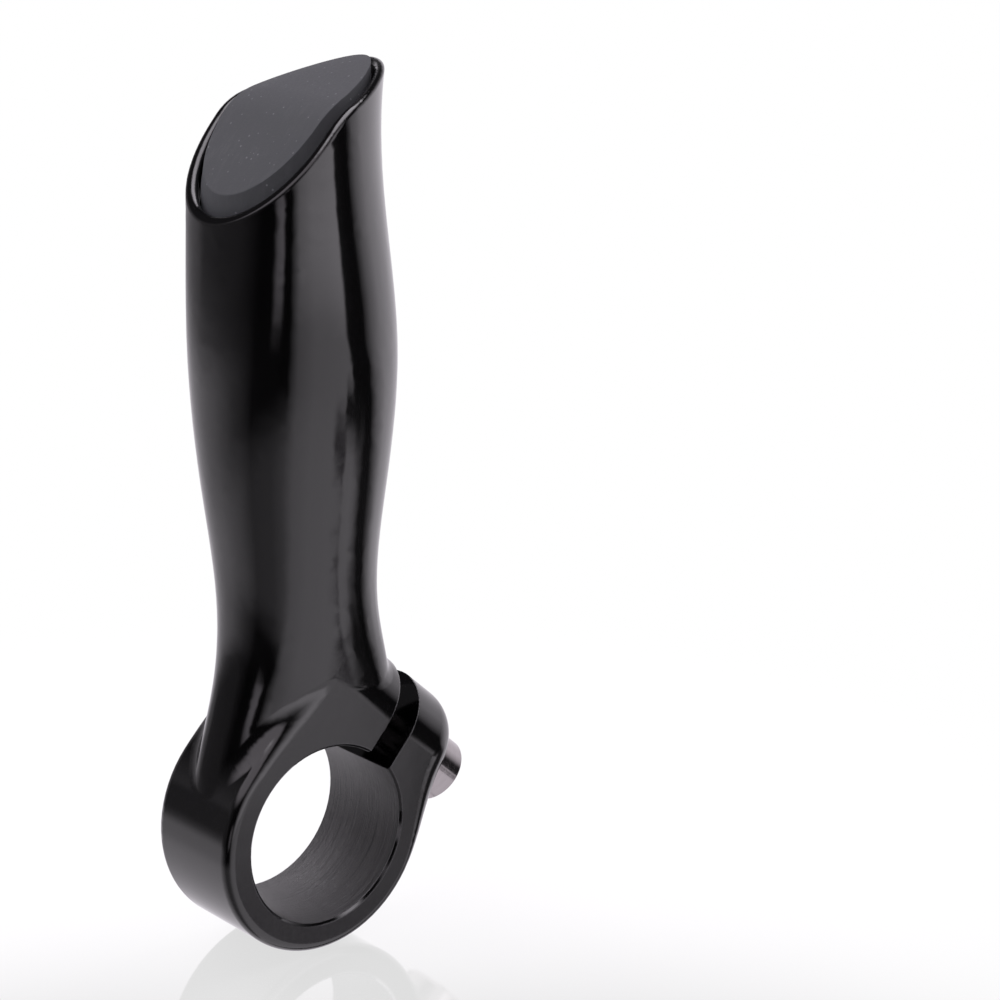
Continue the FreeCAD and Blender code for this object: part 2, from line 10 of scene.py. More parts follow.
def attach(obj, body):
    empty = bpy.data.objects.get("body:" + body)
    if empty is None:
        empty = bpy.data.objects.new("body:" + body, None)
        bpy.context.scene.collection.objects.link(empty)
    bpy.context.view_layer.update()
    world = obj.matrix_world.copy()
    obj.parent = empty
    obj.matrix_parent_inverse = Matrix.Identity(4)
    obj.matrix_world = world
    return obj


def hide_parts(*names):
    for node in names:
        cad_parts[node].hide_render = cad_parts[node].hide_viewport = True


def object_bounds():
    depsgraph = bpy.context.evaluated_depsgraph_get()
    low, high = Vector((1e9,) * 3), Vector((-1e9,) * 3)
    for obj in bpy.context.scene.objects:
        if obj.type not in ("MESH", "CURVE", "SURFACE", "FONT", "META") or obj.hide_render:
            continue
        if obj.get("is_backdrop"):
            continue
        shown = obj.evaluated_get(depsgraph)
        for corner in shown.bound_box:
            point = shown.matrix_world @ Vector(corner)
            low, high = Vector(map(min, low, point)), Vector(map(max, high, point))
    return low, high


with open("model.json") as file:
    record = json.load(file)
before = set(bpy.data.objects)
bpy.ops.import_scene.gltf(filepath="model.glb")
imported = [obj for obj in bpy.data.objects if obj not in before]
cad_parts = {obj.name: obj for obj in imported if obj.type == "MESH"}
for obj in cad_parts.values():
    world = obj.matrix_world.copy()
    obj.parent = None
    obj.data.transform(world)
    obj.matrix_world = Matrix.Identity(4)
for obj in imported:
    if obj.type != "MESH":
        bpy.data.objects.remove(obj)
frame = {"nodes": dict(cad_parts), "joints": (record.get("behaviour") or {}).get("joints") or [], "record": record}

bl_info = {
    "name": "Bar End Dressing",
    "version": (1, 0, 0),
    "blender": (4, 5, 0),
    "location": "View3D > Sidebar > Bar End",
    "description": "Dresses a bicycle bar end: black arm, bright bolt, soft plug and a plain studio",
    "category": "Object",
}

# Lengths are in metres unless a name ends in MM or mm, and angles are in radians unless a name
# ends in DEG or deg. The studio's tables below are in degrees
MM = 0.001
CLAMP = next(m for m in frame["record"]["mounts"] if m["name"] == "clamp_bore")
BORE_RADIUS = CLAMP["dims"]["r_mm"] * MM
BOLT = next(j for j in frame["joints"] if j["name"] == "bolt_turn")
BOLT_SEAT, BOLT_AXIS = tuple(BOLT["pos_m"]), tuple(BOLT["axis"])
CLAMP_HALF_WIDTH = 7.25 * MM

# The arm's section at four heights, as the solids have it, in millimetres: height, reach of the
# back and of the nose, half width, narrowing to the nose, forward shift of the widest part
SECTIONS_MM = np.array([
    (41.0, 10.1, 12.9, 9.4, 0.05, 0.0),
    (58.0, 11.1, 14.4, 11.2, 0.12, 0.4),
    (77.0, 10.2, 13.0, 10.8, 0.30, 0.8),
    (94.0, 10.9, 14.5, 10.9, 0.40, 1.0),
])
# The open end seen along Y: two slopes joined by a bend, in millimetres and degrees
BEND_MM, BEND_RADIUS_MM = (5.8, 78.95), 9.0
LOW_SLOPE_DEG, HIGH_SLOPE_DEG = 48.5, 20.0
STEM_INSET_MM, STEM_WALL_MM, STEM_FOOT_MM, RECESS_MM = 3.1, 1.8, 62.0, 2.4
# The pad: inset of its side, height of the side's top above the rim and of its foot, depth of
# the groove round it, and how far the flat top stays inside the shoulder
PAD_INSET_MM, SIDE_TOP_MM, SIDE_FOOT_MM, GROOVE_MM, TOP_SETBACK_MM = 1.62, -0.8, -1.2, 2.3, 0.12
# Width of the pad's steep shoulder at the nose, on the flanks and at the back, and its profile
# from the top down as shares of that width and of its height
SHOULDER_MM = (0.12, 0.75, 0.1)
SHOULDER_PROFILE = ((1.03, 0.995), (0.98, 0.97), (0.92, 0.91), (0.6, 0.58), (0.25, 0.24),
                    (0.06, 0.08), (0.0, 0.0))
MEETING_ROUNDS = 40
POLE_REACH = 1e-7

# Looks. Masks fade between these two distances from a surface, and the clamp's flatter face
# fades into the arm between these two heights
SKIN_BAND = (0.06 * MM, 0.02 * MM)
FACE_FADE = (24 * MM, 17 * MM)
# Radius of the softened edges
ARM_EDGE, BOLT_EDGE = 0.22 * MM, 0.15 * MM
# How far the softened normal agrees with the face's own where the edge mask starts and is whole
EDGE_AGREEMENT = (0.995, 0.8)
# The part of a grey noise's range that holds nearly all of its values, and the same for slow noise
NOISE_RANGE, SWELL_RANGE = (0.3, 0.7), (0.35, 0.65)
# Noise levels over which wiping marks, and the wider patches that hold them, appear
SCUFF_LINES, SCUFF_PATCHES, SCUFF_PATCH_SCALE = (0.52, 0.75), (0.4, 0.7), 70.0
COATING_IOR = 1.72
# What the coating's fine skin, the clamp's flatter faces and the wiping marks add to roughness
SKIN_ROUGHNESS, FACE_ROUGHNESS, SCUFF_ROUGHNESS = 0.03, 0.045, 0.05
BORE_ROUGHNESS, PLATING_ROUGHNESS, RUBBER_ROUGHNESS = (0.22, 0.34), (0.10, 0.18), (0.62, 0.82)
# The coating's colour on its swells, and the share of the paler edge colour on its edges, which is partly worn
# coating and partly a painted highlight
SWELL_TINT, WORN_AND_HIGHLIGHT_SHARE = 1.5, 0.5
# Paler colour on the arm's edges: partly worn coating, partly a painted highlight along the edges
WORN_EDGE_AND_HIGHLIGHT = (0.09, 0.085, 0.10, 1.0)
BORE_TONES = ((0.006, 0.0055, 0.007, 1.0), (0.060, 0.056, 0.060, 1.0))
PLATING_TONES = ((0.36, 0.335, 0.34, 1.0), (0.47, 0.44, 0.445, 1.0))
# Paler colour on the bolt's edges: a painted highlight
PLATING_EDGE_HIGHLIGHT = (0.62, 0.58, 0.58, 1.0)
# Turning marks to the metre along the bolt, and how fast they drift round it
BOLT_RINGS, BOLT_DRIFT = 9000.0, 120.0
# The rubber's colour in and on its grain, and the colours and share of wiping marks and dust
GRAIN_TINTS = (0.8, 1.2)
WIPED_RUBBER, DUST, MARK_SHARE = (0.075, 0.074, 0.082, 1.0), (0.20, 0.20, 0.22, 1.0), 0.35
# Largest radius of a speck as a share of its cell
SPECK_REACH = 0.32

# Studio. The gloss sees soft boxes and dark gaps round the compass, as (degrees from the light's
# azimuth, level) at eye level and in the floor; the gaps lie where the photograph's lie
BOX_STOPS = ((-180, 0.9), (-140, 0.75), (-95, 0.6), (-62, 0.22), (-38, 0.02), (4, 0.01), (16, 0.55),
             (36, 0.8), (73, 0.85), (76.2, 0.03), (97, 0.02), (108, 0.6), (122, 1.0), (180, 0.85))
FLOOR_STOPS = ((-180, 0.94), (-140, 0.85), (-95, 0.76), (-62, 0.5), (-40, 0.22), (-12, 0.25),
               (4, 0.4), (16, 0.73), (36, 0.88), (92, 0.9), (101, 0.06), (122, 0.06), (130, 0.9),
               (180, 0.91))
# The faint violet cast that the photograph's soft boxes leave on the black gloss
SKY_TINT = (1.03, 0.98, 1.05)
# The right-hand dark gap leans: from here on round the compass, down to here, and how far
LEAN_TURN, LEAN_RISE, LEAN_MOST = (62, 78), (-13, -24), 14
# Strength added to the boxes above the floor from left to right, and where it ends on the right
GAIN_TURN, GAIN_LEVELS, GAIN_END, GAIN_RISE = (-30, 15), (-0.6, 0.8), (90, 78), (-15, -8)
# Heights over which the floor, the dark above the boxes and the lit ceiling take over
FLOOR_RISE, DARK_RISE, CEILING_RISE = (-20, -28), (-4, 38), (49, 55)
DARK_LEVEL, CEILING_LEVEL = 0.03, 3.0
# White behind the part: how far round on either side, and where it opens and closes in height
WHITE_TURN, WHITE_RISE = (145, 166), ((3, 7), (25, 29))
# What matt surfaces get from all round
MATT_LIGHT = (0.2, 0.2, 0.206, 1.0)
# Patches of that sky: where each opens and closes round the compass and in height, and its colour
STRIP_LIGHT = ((-22, -14), (-9, -4), (-15, -8), (-2, 6), (0.8, 0.78, 0.8, 1.0))
DIM_FLOOR = ((60, 67), (75, 79), (-28, -26.6), (-24, -20), (0.12, 0.11, 0.12, 1.0))
DARK_FLAG = ((74, 77), (92, 100), (-26.5, -22.5), (-22, -18), (0.04, 0.04, 0.04, 1.0))
LEFT_BAND = ((-124, -112), (-66, -52), (-11, -4), (7, 13), (0.1, 0.1, 0.1, 1.0))
LEFT_BOX = ((-112, -98), (-8, 8), (20, 33), (48, 56), (1.0, 0.97, 0.99, 1.0))
# The floor: radius, points round it, grey, where its sheen begins and is whole, and its matt and
# mirror roughness
FLOOR_RADIUS, FLOOR_TURNS, FLOOR_GREY = 0.6, 96, 0.9
SHEEN_REACH, FLOOR_ROUGHNESS = (130 * MM, 40 * MM), (0.7, 0.06)
# Shares that the floor's own glow and its sheen have near the part, as the camera sees it
FLOOR_GLOW, FLOOR_SHEEN = 0.92, 0.26
# Lamps: turn from the light's azimuth and height in degrees, distance, width, height, watts
LAMPS = {"lamp_right": (118, 22, 0.5, 0.30, 0.62, 3.2),
         "lamp_left": (-128, 45, 0.5, 0.28, 0.60, 3.0),
         "lamp_side": (-60, 35, 0.55, 0.5, 0.5, 1.5)}
LAMP_AIM = Vector((0.0, 0.0, 40 * MM))


# Shader nodes

def put(tree, kind, inputs=None, **settings):
    """Add a node; inputs maps a socket's name or number to a value or another node's output."""
    node = tree.nodes.new(kind)
    for name, value in settings.items():
        setattr(node, name, value)
    for key, value in (inputs or {}).items():
        if isinstance(value, bpy.types.NodeSocket):
            tree.links.new(value, node.inputs[key])
        else:
            node.inputs[key].default_value = value
    return node


def maths(tree, operation, *values):
    return put(tree, "ShaderNodeMath", dict(enumerate(values)), operation=operation).outputs[0]


def product(tree, *values):
    """Multiply any number of values."""
    result = values[0]
    for value in values[1:]:
        result = maths(tree, "MULTIPLY", result, value)
    return result


def vectors(tree, operation, *values):
    """Vector maths: the node's outputs, Vector and Value."""
    return put(tree, "ShaderNodeVectorMath", dict(enumerate(values)), operation=operation).outputs


def noise(tree, vector, scale, **settings):
    """Grey noise; settings are the inputs Detail and Roughness."""
    inputs = {"Vector": vector, "Scale": scale, **settings}
    return put(tree, "ShaderNodeTexNoise", inputs).outputs["Fac"]


def remap(tree, value, low, high, to_low=0.0, to_high=1.0, smooth=False):
    """Carry a value from one range to another, held at both ends."""
    inputs = {"Value": value, "From Min": low, "From Max": high, "To Min": to_low, "To Max": to_high}
    kind = "SMOOTHSTEP" if smooth else "LINEAR"
    return put(tree, "ShaderNodeMapRange", inputs, interpolation_type=kind).outputs["Result"]


def window(tree, angle, opens, closes):
    """One between two pairs of degrees and nought outside, rising and falling smoothly."""
    rising = remap(tree, angle, *map(math.radians, opens), smooth=True)
    falling = remap(tree, angle, *map(math.radians, reversed(closes)), smooth=True)
    return product(tree, rising, falling)


def blend_colours(tree, factor, first, second):
    """Colour mix: the first colour where the factor is nought."""
    node = put(tree, "ShaderNodeMix", data_type="RGBA")
    for socket, value in zip((node.inputs[0], node.inputs[6], node.inputs[7]), (factor, first, second)):
        if isinstance(value, bpy.types.NodeSocket):
            tree.links.new(value, socket)
        else:
            socket.default_value = value
    return node.outputs[2]


def compass_levels(tree, turn, stops):
    """Grey levels round the compass: a ramp over a turn from -180 to 180 degrees, whose stops
    are (degrees, level)."""
    node = put(tree, "ShaderNodeValToRGB", {"Fac": remap(tree, turn, -math.pi, math.pi)})
    elements = node.color_ramp.elements
    while len(elements) < len(stops):
        elements.new(0.5)
    for element, (degrees, level) in zip(elements, stops):
        element.position = (degrees + 180) / 360
        element.color = (level, level, level, 1.0)
    return node.outputs["Color"]


def grey(level):
    return (level, level, level, 1.0)


def tinted(colour, factor):
    """A colour made lighter or darker."""
    return tuple(part * factor for part in colour[:3]) + (1.0,)


def group(name, inputs, outputs, build):
    """A shader node group: inputs are (name, kind, default), outputs (name, kind)."""
    tree = bpy.data.node_groups.new(name, "ShaderNodeTree")
    for label, kind, default in inputs:
        socket = tree.interface.new_socket(label, in_out="INPUT", socket_type=f"NodeSocket{kind}")
        socket.default_value = default
    for label, kind in outputs:
        tree.interface.new_socket(label, in_out="OUTPUT", socket_type=f"NodeSocket{kind}")
    entry = tree.nodes.new("NodeGroupInput")
    leave = tree.nodes.new("NodeGroupOutput")
    for label, socket in build(tree, entry.outputs).items():
        tree.links.new(socket, leave.inputs[label])
    return tree


def use_group(tree, name, inputs):
    """Place a node group, building it the first time."""
    kinds = {"soft_edges": soft_edges, "fine_skin": fine_skin, "turned_rings": turned_rings,
             "specks": specks, "scuffs": scuffs}
    made = bpy.data.node_groups.get(name) or kinds[name]()
    return put(tree, "ShaderNodeGroup", inputs, node_tree=made).outputs


def soft_edges():
    """Broken edges: the shading normal rounds off within the radius of a sharp edge, and the
    mask is one there and nought on open faces."""
    def build(tree, given):
        bevel = put(tree, "ShaderNodeBevel", {"Radius": given["Radius"]}, samples=4).outputs[0]
        true_normal = put(tree, "ShaderNodeNewGeometry").outputs["Normal"]
        agreement = vectors(tree, "DOT_PRODUCT", bevel, true_normal)["Value"]
        mask = remap(tree, agreement, *EDGE_AGREEMENT)
        return {"Normal": bevel, "Mask": mask}
    return group("soft_edges", [("Radius", "Float", 0.3 * MM)],
                 [("Normal", "Vector"), ("Mask", "Float")], build)


def fine_skin():
    """A height for bump: slow swells of the forging under a fine skin of the coating."""
    def build(tree, given):
        slow = noise(tree, given["Point"], given["Slow Scale"], Detail=2.0, Roughness=0.4)
        fine = noise(tree, given["Point"], given["Fine Scale"], Detail=3.0, Roughness=0.6)
        height = maths(tree, "ADD", product(tree, slow, given["Slow Height"]),
                       product(tree, fine, given["Fine Height"]))
        return {"Height": height, "Slow": slow, "Fine": fine}
    return group("fine_skin", [("Point", "Vector", (0, 0, 0)), ("Slow Scale", "Float", 90.0),
                               ("Fine Scale", "Float", 2500.0), ("Slow Height", "Float", 1.0),
                               ("Fine Height", "Float", 0.1)],
                 [("Height", "Float"), ("Slow", "Float"), ("Fine", "Float")], build)


def turned_rings():
    """Marks of a turning tool: noise along an axis only, so that it runs round in rings, and
    drifts a little with the angle."""
    def build(tree, given):
        stretched = vectors(tree, "MULTIPLY", given["Point"], given["Stretch"])["Vector"]
        return {"Height": noise(tree, stretched, 1.0, Detail=5.0, Roughness=0.7)}
    return group("turned_rings", [("Point", "Vector", (0, 0, 0)),
                                  ("Stretch", "Vector", (60, 4000, 60))],
                 [("Height", "Float")], build)


def specks():
    """Small bright grains: the middles of scattered cells, each with a size of its own."""
    def build(tree, given):
        cells = put(tree, "ShaderNodeTexVoronoi", {"Vector": given["Point"], "Scale": given["Scale"]})
        chance = put(tree, "ShaderNodeSeparateColor", {"Color": cells.outputs["Color"]}).outputs[0]
        reach = product(tree, remap(tree, chance, given["Share"], 1.0), SPECK_REACH)
        mask = maths(tree, "GREATER_THAN", reach, cells.outputs["Distance"])
        return {"Mask": mask}
    return group("specks", [("Point", "Vector", (0, 0, 0)), ("Scale", "Float", 1500.0),
                            ("Share", "Float", 0.85)], [("Mask", "Float")], build)


def scuffs():
    """Faint wiping marks: long thin noise broken up by wider noise."""
    def build(tree, given):
        stretched = vectors(tree, "MULTIPLY", given["Point"], given["Stretch"])["Vector"]
        lines = noise(tree, stretched, 1.0, Detail=4.0, Roughness=0.65)
        wide = noise(tree, given["Point"], SCUFF_PATCH_SCALE, Detail=2.0)
        mask = product(tree, remap(tree, lines, *SCUFF_LINES), remap(tree, wide, *SCUFF_PATCHES))
        return {"Mask": mask}
    return group("scuffs", [("Point", "Vector", (0, 0, 0)), ("Stretch", "Vector", (900, 900, 60))],
                 [("Mask", "Float")], build)


def new_material(name):
    """A material with its Principled shader, whose uniform values are set on its own sockets."""
    material = bpy.data.materials.new(name)
    material.use_nodes = True
    shader = next(n for n in material.node_tree.nodes if n.type == "BSDF_PRINCIPLED")
    return material, material.node_tree, shader


def object_point(tree):
    return put(tree, "ShaderNodeTexCoord").outputs["Object"]


def bump(tree, height, distance, strength=1.0, normal=None):
    inputs = {"Height": height, "Distance": distance, "Strength": strength}
    if normal is not None:
        inputs["Normal"] = normal
    return put(tree, "ShaderNodeBump", inputs).outputs["Normal"]


def black_alloy(colour, gloss):
    """Gloss black over forged alloy; the bore is machined and the clamp's faces are flatter."""
    material, tree, shader = new_material("black_alloy")
    point = object_point(tree)
    x, y, z = put(tree, "ShaderNodeSeparateXYZ", {"Vector": point}).outputs
    radius = maths(tree, "SQRT", maths(tree, "ADD", product(tree, x, x), product(tree, z, z)))
    near, nearer = SKIN_BAND
    in_bore = remap(tree, radius, BORE_RADIUS + near, BORE_RADIUS + nearer)
    aside = maths(tree, "ABSOLUTE", y)
    at_face = remap(tree, aside, CLAMP_HALF_WIDTH - near, CLAMP_HALF_WIDTH - nearer)
    on_face = product(tree, at_face, remap(tree, z, *FACE_FADE, smooth=True))
    edges = use_group(tree, "soft_edges", {"Radius": ARM_EDGE})
    skin = use_group(tree, "fine_skin", {"Point": point, "Slow Scale": 110.0, "Fine Scale": 1900.0,
                                         "Slow Height": 1.0, "Fine Height": 0.035})
    rings = use_group(tree, "turned_rings", {"Point": point, "Stretch": (70.0, 5200.0, 70.0)})["Height"]
    marks = use_group(tree, "scuffs", {"Point": point})["Mask"]
    skin_normal = bump(tree, skin["Height"], 0.05 * MM, strength=0.6, normal=edges["Normal"])
    normal = bump(tree, product(tree, rings, in_bore), 0.09 * MM, normal=skin_normal)
    tree.links.new(normal, shader.inputs["Normal"])
    polish = remap(tree, skin["Fine"], *NOISE_RANGE, gloss, gloss + SKIN_ROUGHNESS)
    flat = product(tree, on_face, FACE_ROUGHNESS)
    machined = product(tree, in_bore, remap(tree, rings, *NOISE_RANGE, *BORE_ROUGHNESS))
    wiped = product(tree, marks, SCUFF_ROUGHNESS)
    rough = maths(tree, "ADD", maths(tree, "ADD", polish, flat), maths(tree, "ADD", machined, wiped))
    tree.links.new(rough, shader.inputs["Roughness"])
    swells = remap(tree, skin["Slow"], *SWELL_RANGE)
    tone = blend_colours(tree, swells, colour, tinted(colour, SWELL_TINT))
    # Edges made paler: partly worn coating, partly a painted highlight standing in for the bright edge lines
    worn_and_highlit_tone = blend_colours(tree, product(tree, edges["Mask"], WORN_AND_HIGHLIGHT_SHARE), tone, WORN_EDGE_AND_HIGHLIGHT)
    bore_tone = blend_colours(tree, remap(tree, rings, *NOISE_RANGE), *BORE_TONES)
    tree.links.new(blend_colours(tree, in_bore, worn_and_highlit_tone, bore_tone), shader.inputs["Base Color"])
    shader.inputs["IOR"].default_value = COATING_IOR
    return material


def bright_steel():
    """Plated steel with rings of turning marks across the bolt's axis and softened edges, which a painted
    highlight makes paler.
    """
    material, tree, shader = new_material("bright_steel")
    point = object_point(tree)
    moved = vectors(tree, "SUBTRACT", point, BOLT_SEAT)["Vector"]
    along = vectors(tree, "DOT_PRODUCT", moved, BOLT_AXIS)["Value"]
    lengthwise = put(tree, "ShaderNodeCombineXYZ", {0: product(tree, along, BOLT_RINGS)}).outputs[0]
    drift = vectors(tree, "MULTIPLY", moved, (BOLT_DRIFT,) * 3)["Vector"]
    rings = noise(tree, vectors(tree, "ADD", lengthwise, drift)["Vector"], 1.0, Detail=4.0)
    edges = use_group(tree, "soft_edges", {"Radius": BOLT_EDGE})
    normal = bump(tree, rings, 0.0016 * MM, strength=0.6, normal=edges["Normal"])
    tree.links.new(normal, shader.inputs["Normal"])
    tree.links.new(remap(tree, rings, *NOISE_RANGE, *PLATING_ROUGHNESS), shader.inputs["Roughness"])
    tone = blend_colours(tree, rings, *PLATING_TONES)
    # Painted highlight: the edges get a paler plating colour
    tree.links.new(blend_colours(tree, edges["Mask"], tone, PLATING_EDGE_HIGHLIGHT), shader.inputs["Base Color"])
    shader.inputs["Metallic"].default_value = 1.0
    return material


def soft_rubber(colour):
    """Matt moulded rubber with a fine grain and scattered pale grains of dust."""
    material, tree, shader = new_material("soft_rubber")
    point = object_point(tree)
    skin = use_group(tree, "fine_skin", {"Point": point, "Slow Scale": 160.0, "Fine Scale": 3600.0,
                                         "Slow Height": 0.6, "Fine Height": 0.5})
    grains = use_group(tree, "specks", {"Point": point, "Scale": 2300.0, "Share": 0.86})["Mask"]
    marks = use_group(tree, "scuffs", {"Point": point, "Stretch": (300.0, 900.0, 300.0)})["Mask"]
    normal = bump(tree, skin["Height"], 0.05 * MM, strength=0.55)
    tree.links.new(normal, shader.inputs["Normal"])
    darker, paler = (tinted(colour, factor) for factor in GRAIN_TINTS)
    tone = blend_colours(tree, remap(tree, skin["Fine"], *NOISE_RANGE), darker, paler)
    wiped = blend_colours(tree, product(tree, marks, MARK_SHARE), tone, WIPED_RUBBER)
    dusty = blend_colours(tree, product(tree, grains, MARK_SHARE), wiped, DUST)
    tree.links.new(dusty, shader.inputs["Base Color"])
    rough = remap(tree, skin["Fine"], *NOISE_RANGE, *RUBBER_ROUGHNESS)
    tree.links.new(rough, shader.inputs["Roughness"])
    return material


# Shapes

def finish_piece(name, points, faces, material, body, smooth_deg=35.0):
    """Make a closed mesh object from arrays, smooth but for its sharp edges, riding on a body."""
    mesh = bpy.data.meshes.new(name)
    mesh.from_pydata(points.tolist(), [], faces.tolist())
    mesh.validate()
    mesh.shade_smooth()
    mesh.set_sharp_from_angle(angle=math.radians(smooth_deg))
    mesh.materials.append(material)
    piece = bpy.data.objects.new(name, mesh)
    bpy.context.scene.collection.objects.link(piece)
    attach(piece, body)
    return piece


def section_at(height_mm):
    """The section's five numbers at any height: the cubic through the four stations."""
    heights = SECTIONS_MM[:, 0]
    numbers = 0.0
    for row, own in zip(SECTIONS_MM, heights):
        others = heights[heights != own]
        weight = np.prod([(height_mm - other) / (own - other) for other in others], axis=0)
        numbers = numbers + weight[..., None] * row[1:]
    return np.moveaxis(numbers, -1, 0)


def egg(turn, height_mm, inset_mm):
    """The arm's outline moved inwards: x = middle + reach cos t + forward sin^2 t,
    y = half width sin t (1 - taper cos t)."""
    back, nose, half_width, taper, forward = section_at(height_mm)
    middle, reach = (nose - back) / 2, (nose + back) / 2 - inset_mm
    x = middle + reach * np.cos(turn) + forward * np.sin(turn) ** 2
    y = (half_width - inset_mm) * np.sin(turn) * (1 - taper * np.cos(turn))
    return x, y


def slope_height(x_mm, offset_mm):
    """Height of the open end's sloped line at x, moved out by an offset: the lower line, the
    arc round the bend and the upper line, each where it holds."""
    low, high = math.radians(LOW_SLOPE_DEG), math.radians(HIGH_SLOPE_DEG)
    radius = BEND_RADIUS_MM + offset_mm
    across = x_mm - BEND_MM[0]
    low_x, high_x = -radius * math.sin(low), -radius * math.sin(high)
    arc = np.sqrt(np.maximum(radius ** 2 - across ** 2, 0.0))
    lower = radius * math.cos(low) + (across - low_x) * math.tan(low)
    upper = radius * math.cos(high) + (across - high_x) * math.tan(high)
    return BEND_MM[1] + np.where(across < low_x, lower, np.where(across > high_x, upper, arc))


def sloped_ring(turn, inset_mm, offset_mm):
    """Where the arm's outline, moved inwards, meets the sloped surface moved out. The height
    is found by halving the step to the slope's height at the outline's x."""
    height = np.full_like(turn, SECTIONS_MM[2, 0])
    for _ in range(MEETING_ROUNDS):
        x, y = egg(turn, height, inset_mm)
        height = 0.5 * height + 0.5 * slope_height(x, offset_mm)
    return np.stack([x, y, height], axis=-1)


def plug_rows(crown_mm, edge_mm, turns=180, steps=26):
    """The plug as closed rings, from the middle of its slightly domed top, over the edge, down
    the pad's steep shoulder and side, in to the stem, down and back up inside it.

    Height of the dome above the sloped surface, a share w of the way out:
    rise = edge + (crown - edge) (1 - w^3).
    Width of the shoulder at the angle t:
    flank sin^2 t + (nose (1 + cos t) + back (1 - cos t)) cos^2 t / 2."""
    turn = np.linspace(0.0, 2.0 * math.pi, turns, endpoint=False)
    at_nose, on_flank, at_back = SHOULDER_MM
    lean = np.cos(turn)
    ends = at_nose * (lean + 1.0) + at_back * (1.0 - lean)
    shoulder = on_flank * (1.0 - lean ** 2) + ends * lean ** 2 / 2.0
    top = sloped_ring(turn, PAD_INSET_MM + shoulder + TOP_SETBACK_MM, edge_mm)
    centre = np.array([top[:, 0].mean(), 0.0])
    rows = []
    for way in np.linspace(0.0, 1.0, steps):
        flat = centre + (top[:, :2] - centre) * way
        rise = edge_mm + (crown_mm - edge_mm) * (1.0 - way ** 3)
        rows.append(np.column_stack([flat, slope_height(flat[:, 0], rise)]))
    for width, height in SHOULDER_PROFILE:
        level = SIDE_TOP_MM + (edge_mm - SIDE_TOP_MM) * height
        rows.append(sloped_ring(turn, PAD_INSET_MM + shoulder * width, level))
    rows += [sloped_ring(turn, PAD_INSET_MM, level) for level in (SIDE_FOOT_MM, -GROOVE_MM)]
    rows.append(sloped_ring(turn, STEM_INSET_MM, -GROOVE_MM))
    foot = np.full_like(turn, STEM_FOOT_MM)
    for inset in (STEM_INSET_MM, STEM_INSET_MM + STEM_WALL_MM):
        rows.append(np.column_stack([*egg(turn, foot, inset), foot]))
    rows.append(sloped_ring(turn, STEM_INSET_MM + STEM_WALL_MM, -RECESS_MM))
    flat = np.tile(np.array([rows[-1][:, 0].mean(), 0.0]), (turns, 1))
    rows.append(np.column_stack([flat, slope_height(flat[:, 0], -RECESS_MM)]))
    return np.array(rows) * MM


def ring_faces(rows, turns):
    """Quads between neighbouring rings of points, rows outwards and turns anticlockwise."""
    row, turn = np.meshgrid(np.arange(rows - 1), np.arange(turns), indexing="ij")
    here, after = row * turns + turn, row * turns + (turn + 1) % turns
    return np.stack([here, here + turns, after + turns, after], axis=-1).reshape(-1, 4)


def merge_poles(piece):
    """Close the poles, whose ring of points lies in one place, and turn the faces outwards."""
    shape = bmesh.new()
    shape.from_mesh(piece.data)
    bmesh.ops.remove_doubles(shape, verts=shape.verts, dist=POLE_REACH)
    bmesh.ops.recalc_face_normals(shape, faces=shape.faces)
    shape.to_mesh(piece.data)
    shape.free()


# Sizes and colours that a user may change

class BarEndLooks(bpy.types.PropertyGroup):
    alloy_colour: bpy.props.FloatVectorProperty(
        name="Alloy colour", description="Colour of the black coating", subtype="COLOR", size=4,
        min=0.0, max=1.0, default=(0.0009, 0.0008, 0.0010, 1.0))
    alloy_roughness: bpy.props.FloatProperty(
        name="Alloy roughness", description="Lowest roughness of the black coating",
        min=0.0, max=1.0, default=0.055, subtype="FACTOR")
    rubber_colour: bpy.props.FloatVectorProperty(
        name="Rubber colour", description="Colour of the plug", subtype="COLOR", size=4,
        min=0.0, max=1.0, default=(0.034, 0.034, 0.039, 1.0))
    pad_crown: bpy.props.FloatProperty(
        name="Pad crown", description="Height of the pad's middle above the rim",
        default=0.92 * MM, min=0.0, max=2.0 * MM, unit="LENGTH", subtype="DISTANCE", precision=5)
    pad_edge: bpy.props.FloatProperty(
        name="Pad edge", description="Height of the pad's edge above the rim",
        default=0.66 * MM, min=-1.0 * MM, max=1.5 * MM, unit="LENGTH", subtype="DISTANCE", precision=5)


class BarEndStudio(bpy.types.PropertyGroup):
    camera_azimuth: bpy.props.FloatProperty(
        name="Camera azimuth", description="Turn of the camera about the upright axis",
        default=math.radians(-41.138), subtype="ANGLE")
    camera_elevation: bpy.props.FloatProperty(
        name="Camera elevation", description="Angle of the camera above the horizon",
        default=math.radians(16.117), subtype="ANGLE")
    camera_roll: bpy.props.FloatProperty(
        name="Camera roll", description="Turn of the camera about its own axis",
        default=math.radians(0.391), subtype="ANGLE")
    camera_distance: bpy.props.FloatProperty(
        name="Camera distance", description="From the camera to the point it looks at",
        default=296.457 * MM, unit="LENGTH", subtype="DISTANCE")
    target_height: bpy.props.FloatProperty(
        name="Target height", description="Height of the point that the camera looks at",
        default=40.556 * MM, unit="LENGTH", subtype="DISTANCE")
    target_aside: bpy.props.FloatProperty(
        name="Target aside", description="How far that point lies to the camera's right",
        default=25.123 * MM, unit="LENGTH", subtype="DISTANCE", precision=5)
    lens: bpy.props.FloatProperty(
        name="Lens", description="Focal length on a 36 mm sensor", default=90.62, min=1.0)
    light_azimuth: bpy.props.FloatProperty(
        name="Light azimuth", description="Turn of the whole light about the upright axis",
        default=math.radians(-36.283), subtype="ANGLE")
    floor_drop: bpy.props.FloatProperty(
        name="Floor drop", description="Gap between the ring's lowest point and the floor",
        default=0.2 * MM, unit="LENGTH", subtype="DISTANCE", precision=5)


